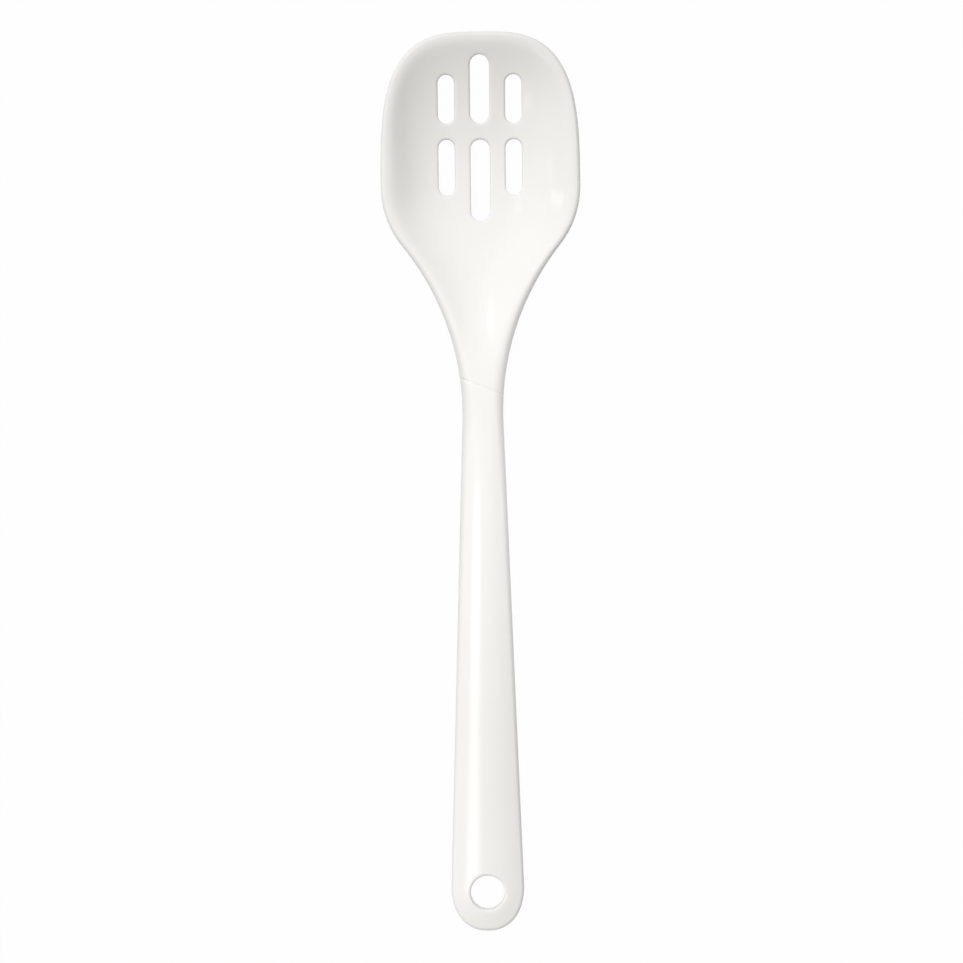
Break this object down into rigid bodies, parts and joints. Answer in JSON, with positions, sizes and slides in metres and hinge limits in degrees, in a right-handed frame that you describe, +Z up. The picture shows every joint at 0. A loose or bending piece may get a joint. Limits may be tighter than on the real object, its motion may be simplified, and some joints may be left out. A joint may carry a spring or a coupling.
{
  "type": "slotted serving spoon",
  "caption": "Slotted serving spoon of white moulded melamine, with a shallow squared bowl and a tapering crowned handle that ends in a hanging hole.",
  "frame": {"origin": "middle of the spoon's length and width, on the surface that it lies on", "axes": "+Y along the spoon from the handle's end to the tip of the bowl, +Z up out of the bowl, +X to the right as the bowl is seen from above with its tip away"},
  "size_m": [0.0664, 0.3, 0.016],
  "materials": {
    "melamine": "smooth glossy moulding"
  },
  "bodies": {
    "root": {"slotted_head": "melamine", "handle": "melamine"}
  },
  "joints": []
}
